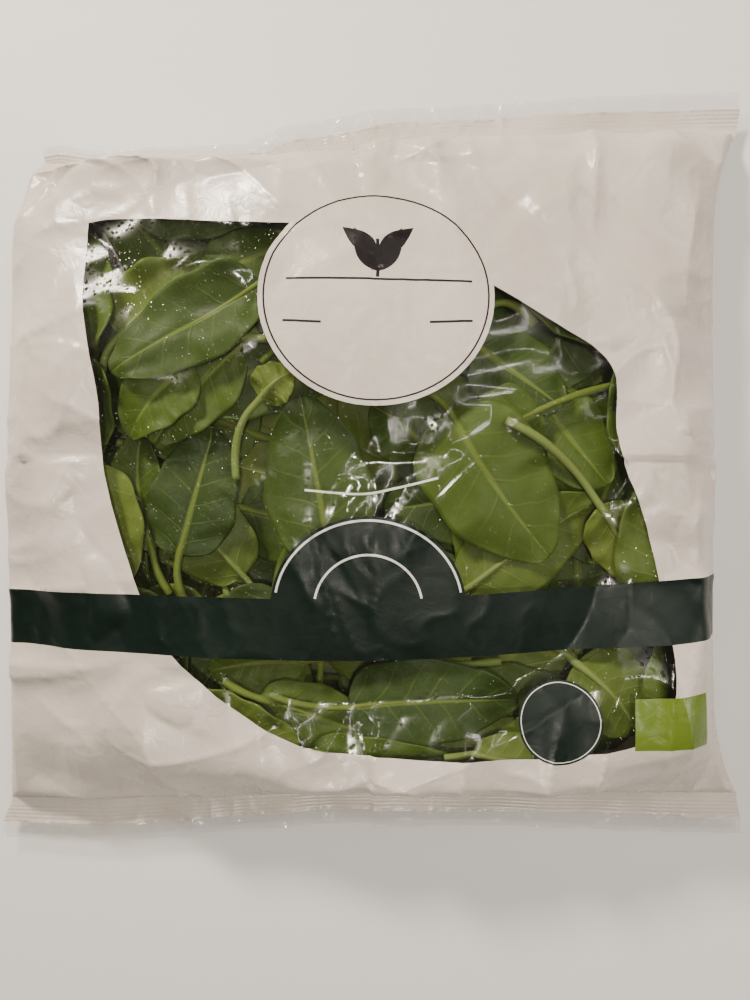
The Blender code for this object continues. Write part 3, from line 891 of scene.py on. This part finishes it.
def front_film_height(field, x, y):
    """The height of the creased front film at plan points."""
    u, v = bag_uv(x, y)
    fold = fold_height(u, v)
    pillow = pillow_height(u, v)
    over = envelope(field.top, 9)
    lifted = np.maximum(pillow, field.sample(over, x, y) + LEAF_GAP)
    near = np.maximum(np.abs(u), np.abs(v))
    free = smooth_step((1.0 - near) / 0.10)
    base = fold + (lifted - fold) * free + (pillow - fold) * (1 - free)
    end = smooth_step((np.abs(v) - 0.55) / 0.4)
    side = smooth_step((np.abs(u) - 0.6) / 0.35)
    pulls = folds(x, y * 0.30, 11, 0.019) * end * 0.0046
    pulls += folds(x * 0.45, y, 17, 0.022) * side * (1 - end) * 0.0034
    outer = 0.30 + 0.70 * np.maximum(end, side)
    broad = folds(x, y, 23, 0.052) * 0.0046 * outer + folds(x * 0.8, y, 31, 0.028) * 0.0024 * outer
    fine = folds(x, y, 29, 0.012) * 0.0006
    wrinkle = (pulls + broad + fine + crease_height(x, y)) * smooth_step((1.0 - near) / 0.035)
    height = base + wrinkle - 0.0030 * free
    floor = field.sample(envelope(field.top, 3), x, y) + 0.0011
    height = np.maximum(height, np.where(near < 0.93, floor, height))
    return height + crest_height(x, y) + GAP / 2 + FILM


WINDOW = (
    (-95.5, 80.5), (-95.5, 80.5), (-82, 82), (-33, 79), (5, 76), (41, 57), (62, 44.5), (75, 37),
    (81, 27), (81.5, 5), (91.5, -26), (97, -56), (97, -80), (86, -93), (51, -97.7), (-3, -97),
    (-33, -89.5), (-66, -65), (-80, -35), (-89, -3), (-89.5, 20), (-95, 53), (-95.5, 80.5))
BAND_TOP = ((-134, -44), (-118, -43.5), (-56, -44.8), (0, -45.4), (59, -42.4), (110, -38.5),
            (128, -38.0))
BAND_BOTTOM = ((-134, -63.5), (-118, -62.5), (-56, -65), (0, -65.8), (59, -63), (110, -59),
               (128, -58.5))


def print_regions():
    """Each printed shape: its piece and closed outline, the uppermost first."""
    regions = []
    for line, width in (
            (((-28, 59.6), (2, 59.3), (33, 58.4)), 0.75), (((-29, 45.6), (-16.4, 45.0)), 0.8),
            (((19, 44.8), (33, 45.2)), 0.8)):
        regions.append(("black_print", stroke(spline(line, closed=False), width * MM)))
    regions.append(("black_print", stroke(spline(((2, 60), (2.4, 66), (2, 73)), False), 1.1 * MM)))
    for lean in (-1, 1):
        for base, length, wide, turn in ((62, 17, 7.5, 28), (68, 15, 6.5, 52)):
            regions.append(("black_print", sprig_leaf(2.2, base, length, wide, lean, turn)))
    regions.append(("badge", ellipse(BADGE_X, BADGE_Y, 36.6, 34.4)))
    regions.append(("black_print", ellipse(BADGE_X, BADGE_Y, 37.2, 35.0)))
    regions.append(("badge", ellipse(BADGE_X, BADGE_Y, 38.8, 36.6)))
    for rx, ry in ((30.6, 28.4), (17.6, 17.2)):
        arc = ellipse(ARCH_X, ARCH_Y, rx, ry, 10, 170, 60)
        regions.append(("pale_print", stroke(arc, 0.75 * MM)))
    corners = ((85.6, -77.6), (109.4, -75.9), (110.3, -93.2), (85.6, -94.6))
    regions.append(("label_square", spline([c for c in corners for _ in (0, 1)], steps=10)))
    regions.append(("label_round", ellipse(LABEL_X, LABEL_Y, 12.7, 12.7)))
    regions.append(("pale_print", ellipse(LABEL_X, LABEL_Y, 13.0, 13.0)))
    regions.append(("label_round", ellipse(LABEL_X, LABEL_Y, 13.7, 13.7)))
    band = np.vstack([spline(BAND_TOP, closed=False), spline(BAND_BOTTOM, closed=False)[::-1]])
    regions.append(("band", band))
    regions.append(("band", ellipse(ARCH_X, ARCH_Y, 31.9, 29.8, -5, 185, 60)))
    rule = spline(((-21.5, -9.8), (-3.7, -11.1), (8, -9.2), (21.6, -5.9)), closed=False)
    regions.append(("pale_print", stroke(rule, 0.7 * MM)))
    regions.append(("window", spline(WINDOW)))
    return regions


def sprig_leaf(x, y, length, width, lean, turn):
    """A plain leaf shape that leaves a stem at (x, y)."""
    s = np.linspace(0, 1, 14)
    half = width / 2 * np.sin(math.pi * s ** 0.8)
    angle = math.radians(90 - lean * turn)
    along = np.array((math.cos(angle), math.sin(angle)))
    side = np.array((-along[1], along[0]))
    right = np.outer(s * length, along) + np.outer(half, side)
    left = np.outer(s * length, along) - np.outer(half, side)
    return (np.vstack([right, left[-2:0:-1]]) + (x, y)) * MM


def body_outline(steps=120):
    """The plan outline of the front film, anticlockwise."""
    v = np.linspace(-1, 1, steps)
    bottom = v[:-1]
    right = np.column_stack([right_side(v), v * BODY_HALF_LENGTH])
    left = np.column_stack([left_side(v), v * BODY_HALF_LENGTH])[::-1]
    end = np.ones_like(bottom)
    low = np.column_stack([bag_x(bottom, -end), -end * BODY_HALF_LENGTH])
    high = np.column_stack([bag_x(bottom[::-1], end), end * BODY_HALF_LENGTH])
    return np.vstack([low, right[:-1], high, left[1:-1]])


# The bag's true ends: the printed film's edge at places across the bag, in millimetres.
TOP_EDGE = ((-136, 113), (-117.5, 115), (-97, 112.6), (-94, 113.6), (-38.5, 116), (-31, 118),
            (10, 124.5), (79, 128.6), (136, 130.4))
BOTTOM_EDGE = ((-136, 130.8), (-98, 131.5), (-63, 129), (-24, 126.4), (10, 125.6), (65, 127.5),
               (136, 129.3))
PRINT_END = 0.1308               # where that edge lies before the ends are drawn in
WARP_FROM = 0.0930               # the film is drawn in beyond this, clear of the badge


def draw_in(points):
    """Pull the straight ends of the bag in to its true outline."""
    out = np.array(points, float)
    x, y = out[:, 0], out[:, 1]
    for end, edge in ((1, TOP_EDGE), (-1, BOTTOM_EDGE)):
        across, level = np.array(edge).T * MM
        pull = PRINT_END - np.interp(x, across, level)
        pull = pull * smooth_step((end * y - WARP_FROM) / (PRINT_END - WARP_FROM))
        corner = smooth_step((-0.030 - x) / 0.02) * (end > 0) * np.maximum(end * y - PRINT_END, 0.0)
        y = y - end * (pull + 0.75 * corner)
    out[:, 1] = y
    left = smooth_step((-0.095 - x) / 0.03) * smooth_step((y - 0.070) / 0.045)
    out[:, 0] = x + 0.0035 * left
    return out


FILM_PIECES = {
    "window": ("front_window", "clear_film"), "white": ("front_white", "printed_film"),
    "band": ("front_band", "dark_green_print"), "badge": ("badge", "printed_film"),
    "black_print": ("badge_lines", "black_print"), "pale_print": ("pale_lines", "printed_film"),
    "label_round": ("label_round", "dark_green_print"),
    "label_square": ("label_square", "light_green_print")}


def make_front_film(field, finishes):
    """Cut the front film along its print and give each part its own piece."""
    lines = film_lines(FRONT_LINES)[1:-1]
    u, v = np.meshgrid(lines, lines)
    points = [np.column_stack([bag_x(u, v).ravel(), v.ravel() * BODY_HALF_LENGTH])]
    edges, count = [], len(points[0])
    regions = print_regions()
    for outline in [body_outline()] + [split_long(shape) for _, shape in regions]:
        size = len(outline)
        points.append(outline)
        edges += [(count + k, count + (k + 1) % size) for k in range(size)]
        count += size
    crest = spline(CREST, closed=False)
    for offset in (-1.0, -0.5, 0.0, 0.5, 1.0):
        line = stroke(crest, 2 * offset * CREST_WIDTH * MM)[:len(crest)]
        points.append(line)
        edges += [(count + k, count + k + 1) for k in range(len(line) - 1)]
        count += len(line)
    flat = [Vector(map(float, p)) for p in np.vstack(points)]
    made = delaunay_2d_cdt(flat, edges, [], 0, 1e-6)
    plan = np.array([tuple(p) for p in made[0]])
    faces = np.array([f for f in made[2] if len(f) == 3])
    middles = plan[faces].mean(axis=1)
    keep = inside(middles, body_outline())
    faces, middles = faces[keep], middles[keep]
    kind = np.full(len(faces), "white", dtype="<U16")
    for name, shape in reversed(regions):
        kind[inside(middles, shape)] = name
    height = front_film_height(field, plan[:, 0], plan[:, 1])
    points = draw_in(np.column_stack([plan, height]))
    for region, (name, slot) in FILM_PIECES.items():
        add_cut(name, points, faces[kind == region], finishes[region], "film_front")


# ---- back, seals

BACK_BAND = (-0.0625, -0.0435)   # the grid rows of the back film that follow the band's edges
BAND_EASE = 0.040                # how far from the band the rows are straight again


def follow_band(x, y):
    """Bend straight grid rows so that two of them run along the band's edges."""
    low, high = BACK_BAND
    shifts = []
    for points, row in ((BAND_BOTTOM, low), (BAND_TOP, high)):
        line = spline(points, closed=False)
        shifts.append(np.interp(x, line[:, 0], line[:, 1]) - row)
    share = np.clip((y - low) / (high - low), 0.0, 1.0)
    outside = np.maximum(np.maximum(low - y, y - high), 0.0)
    return y + (shifts[0] * (1 - share) + shifts[1] * share) * np.clip(1 - outside / BAND_EASE, 0.0, 1.0)


def make_back_film(finishes):
    """The back of the tube: flat where it lies, puckered where it rises."""
    lines = film_lines(BACK_LINES)
    rows = lines.copy()
    for row in BACK_BAND:
        rows[np.argmin(np.abs(rows - row / BODY_HALF_LENGTH))] = row / BODY_HALF_LENGTH
    u, v = np.meshgrid(lines, rows)
    straight = v * BODY_HALF_LENGTH
    y = follow_band(bag_x(u, v), straight)
    v = y / BODY_HALF_LENGTH
    x = bag_x(u, v)
    low = back_height(u, v)
    near = np.maximum(np.abs(u), np.abs(v))
    lift = np.clip(low / 0.006, 0.0, 1.0) * smooth_step((1.0 - near) / 0.05)
    pucker = folds(x, y * 0.4, 41, 0.016) * 0.0016 + folds(x, y, 43, 0.045) * 0.0014
    rim = smooth_step((near - 0.90) / 0.10)
    z = low + pucker * lift + 0.00005 + (FILM + GAP / 2) * rim
    over_fin = smooth_step((FIN_HALF_WIDTH + 0.0025 - np.abs(x)) / 0.002)
    z = z + 0.0008 * over_fin * smooth_step((0.97 - np.abs(v)) / 0.03)
    points = draw_in(np.dstack([x, y, z]).reshape(-1, 3))
    faces = np.array([tuple(reversed(f)) for f in grid_faces(BACK_LINES, BACK_LINES)])
    middles = straight.ravel()[faces].mean(axis=1)
    in_band = (middles > BACK_BAND[0]) & (middles < BACK_BAND[1])
    add_cut("back_white", points, faces[~in_band], finishes["white"], "film_back")
    add_cut("back_band", points, faces[in_band], finishes["band"], "film_back")
    make_fin(finishes)


def make_fin(finishes):
    """The folded fin seal down the back, with its crimped edge."""
    rows, columns = FIN_GRID
    share, along = np.meshgrid(np.linspace(-1, 1, columns), np.linspace(-0.92, 0.92, rows))
    x, y = share * FIN_HALF_WIDTH, along * BODY_HALF_LENGTH
    u, v = bag_uv(x, y)
    z = np.maximum(back_height(u, v) - 0.0004, 0.0) + 0.00012
    z = z + 0.0001 * np.sin(y / 0.0016) * (share > 0)
    top = np.dstack([x, y, z + 0.00035]).reshape(-1, 3)
    bottom = np.dstack([x, y, z]).reshape(-1, 3)
    add_piece("fin_seal_look", np.vstack([top, bottom]), two_skins(rows, columns),
              finishes["white"], ("fin_seal",))


def make_end_seal(name, end, finishes):
    """One end seal: crimped white film, and the clear film that runs on past it."""
    rows, columns = SEAL_GRID
    share = np.linspace(0, 1, rows)[:, None] * np.ones((1, columns))
    u = np.linspace(-1, 1, columns)[None, :] * np.ones((rows, 1))
    inner = bag_x(u, np.full_like(u, float(end)))
    left = TOP_SEAL_LEFT if end > 0 else -SEAL_HALF_WIDTH
    outer = left + (SEAL_HALF_WIDTH - left) * (u + 1) / 2
    x = inner + (outer - inner) * smooth_step(share * 1.5)
    bow = 0.0008 * value_noise(x, x * 0, 61 + end, 0.05) * share
    y = end * (BODY_HALF_LENGTH + share * (SEAL_END - BODY_HALF_LENGTH)) + bow
    z = fold_height(u, np.ones_like(u)) + FILM + GAP / 2
    ribs = np.sin(share * 2 * math.pi * 11) * 0.00016 * (share < 0.62) * (share > 0.16)
    ruffle = 0.0016 * value_noise(x, y * 0.3, 67 + end, 0.016) + 0.0010 * folds(x, y * 0.5, 71 + end, 0.008)
    crackle = folds(x, y, 77 + end, 0.0035) * 0.0006 * (share > 0.6)
    z = z + ribs + ruffle * smooth_step(share * 1.4) + crackle
    points = draw_in(np.dstack([x, y, z]).reshape(-1, 3))
    faces = np.array(grid_faces(rows, columns))
    if end < 0:
        faces = faces[:, ::-1]
    clear_from = 0.60 + 0.05 * value_noise(x, x * 0, 81 + end, 0.03)
    if end > 0:
        clear_from = clear_from - 0.15 * smooth_step((-0.02 - x) / 0.03)
    kind = share.ravel()[faces].mean(axis=1) > clear_from.ravel()[faces].mean(axis=1)
    for part, chosen, region, slot in (("white", faces[~kind], "white", "printed_film"),
                                       ("clear", faces[kind], "edge", "clear_film")):
        add_cut(f"{name}_{part}", points, chosen, finishes[region], name)


# ---- stage

def add_lamp(name, place, size, energy, colour):
    """A square area lamp that looks at the bag."""
    data = bpy.data.lights.new(name, "AREA")
    data.size, data.energy, data.color = size, energy, colour
    lamp = add_object(name, data)
    lamp.location = place
    lamp.rotation_euler = (-Vector(place)).to_track_quat("-Z", "Y").to_euler()
    return lamp


def make_stage():
    """A plain pale floor, soft studio light, and the camera looking straight down."""
    mesh = bpy.data.meshes.new("floor")
    corners = [(x * FLOOR_HALF, y * FLOOR_HALF, -0.0003) for x, y in ((-1, -1), (1, -1), (1, 1), (-1, 1))]
    mesh.from_pydata(corners, [], [(0, 1, 2, 3)])
    floor = add_object("floor", mesh)
    made, _, shader, _ = node_material("floor")
    set_inputs(shader, {"Base Color": (0.80, 0.78, 0.755, 1), "Roughness": 0.7})
    mesh.materials.append(made)
    world = bpy.data.worlds.new("studio")
    world.use_nodes = True
    set_inputs(world.node_tree.nodes["Background"], {"Color": (1.0, 0.92, 0.83, 1), "Strength": 0.16})
    bpy.context.scene.world = world
    add_lamp("key", (-0.42, 0.62, 0.52), 0.14, 13.0, (1.0, 0.90, 0.77))
    add_lamp("fill", (0.80, -0.10, 0.50), 0.30, 2.2, (1.0, 0.93, 0.84))
    add_lamp("spark", (0.03, -0.09, 1.00), 0.035, 3.4, (1.0, 0.92, 0.80))
    strip = add_lamp("strip", (0.42, 0.32, 1.0), 1.2, 5.0, (1.0, 0.94, 0.86))
    strip.data.shape, strip.data.size_y = "RECTANGLE", 0.03
    strip.rotation_euler = (0, 0, math.radians(39))
    data = bpy.data.cameras.new("camera")
    data.sensor_fit, data.sensor_width, data.lens = "HORIZONTAL", SENSOR, LENS
    camera = add_object("camera", data)
    camera.location = CAMERA_PLACE
    bpy.context.scene.camera = camera


def main():
    """Build the whole scene."""
    make_stage()
    field = Field()
    make_leaves(field)
    white = film_material("film_white", (0.66, 0.585, 0.515), (0.53, 0.475, 0.41), 0.30, 0.55)
    finishes = {
        "white": white, "badge": white,
        "window": clear_material("film_clear", 0.20, 0.09, (0.020, 0.021, 0.016), 0.8),
        "edge": clear_material("film_edge", 0.30, 0.14, (0.55, 0.52, 0.48), 0.7),
        "band": film_material("print_dark_green", (0.0050, 0.0125, 0.0085), (0.003, 0.009, 0.006),
                              0.40, 0.2, 0.22),
        "black_print": film_material("print_black", (0.012, 0.009, 0.010), (0.008, 0.006, 0.007),
                                     0.45, 0.2, 0.2),
        "pale_print": film_material("print_pale", (0.72, 0.74, 0.68), (0.62, 0.64, 0.58), 0.35, 0.3),
        "label_square": film_material("print_light_green", (0.13, 0.20, 0.014), (0.10, 0.155, 0.011),
                                      0.3, 0.4)}
    finishes["label_round"] = finishes["band"]
    make_front_film(field, finishes)
    make_back_film(finishes)
    make_end_seal("top_seal", 1, finishes)
    make_end_seal("bottom_seal", -1, finishes)


main()
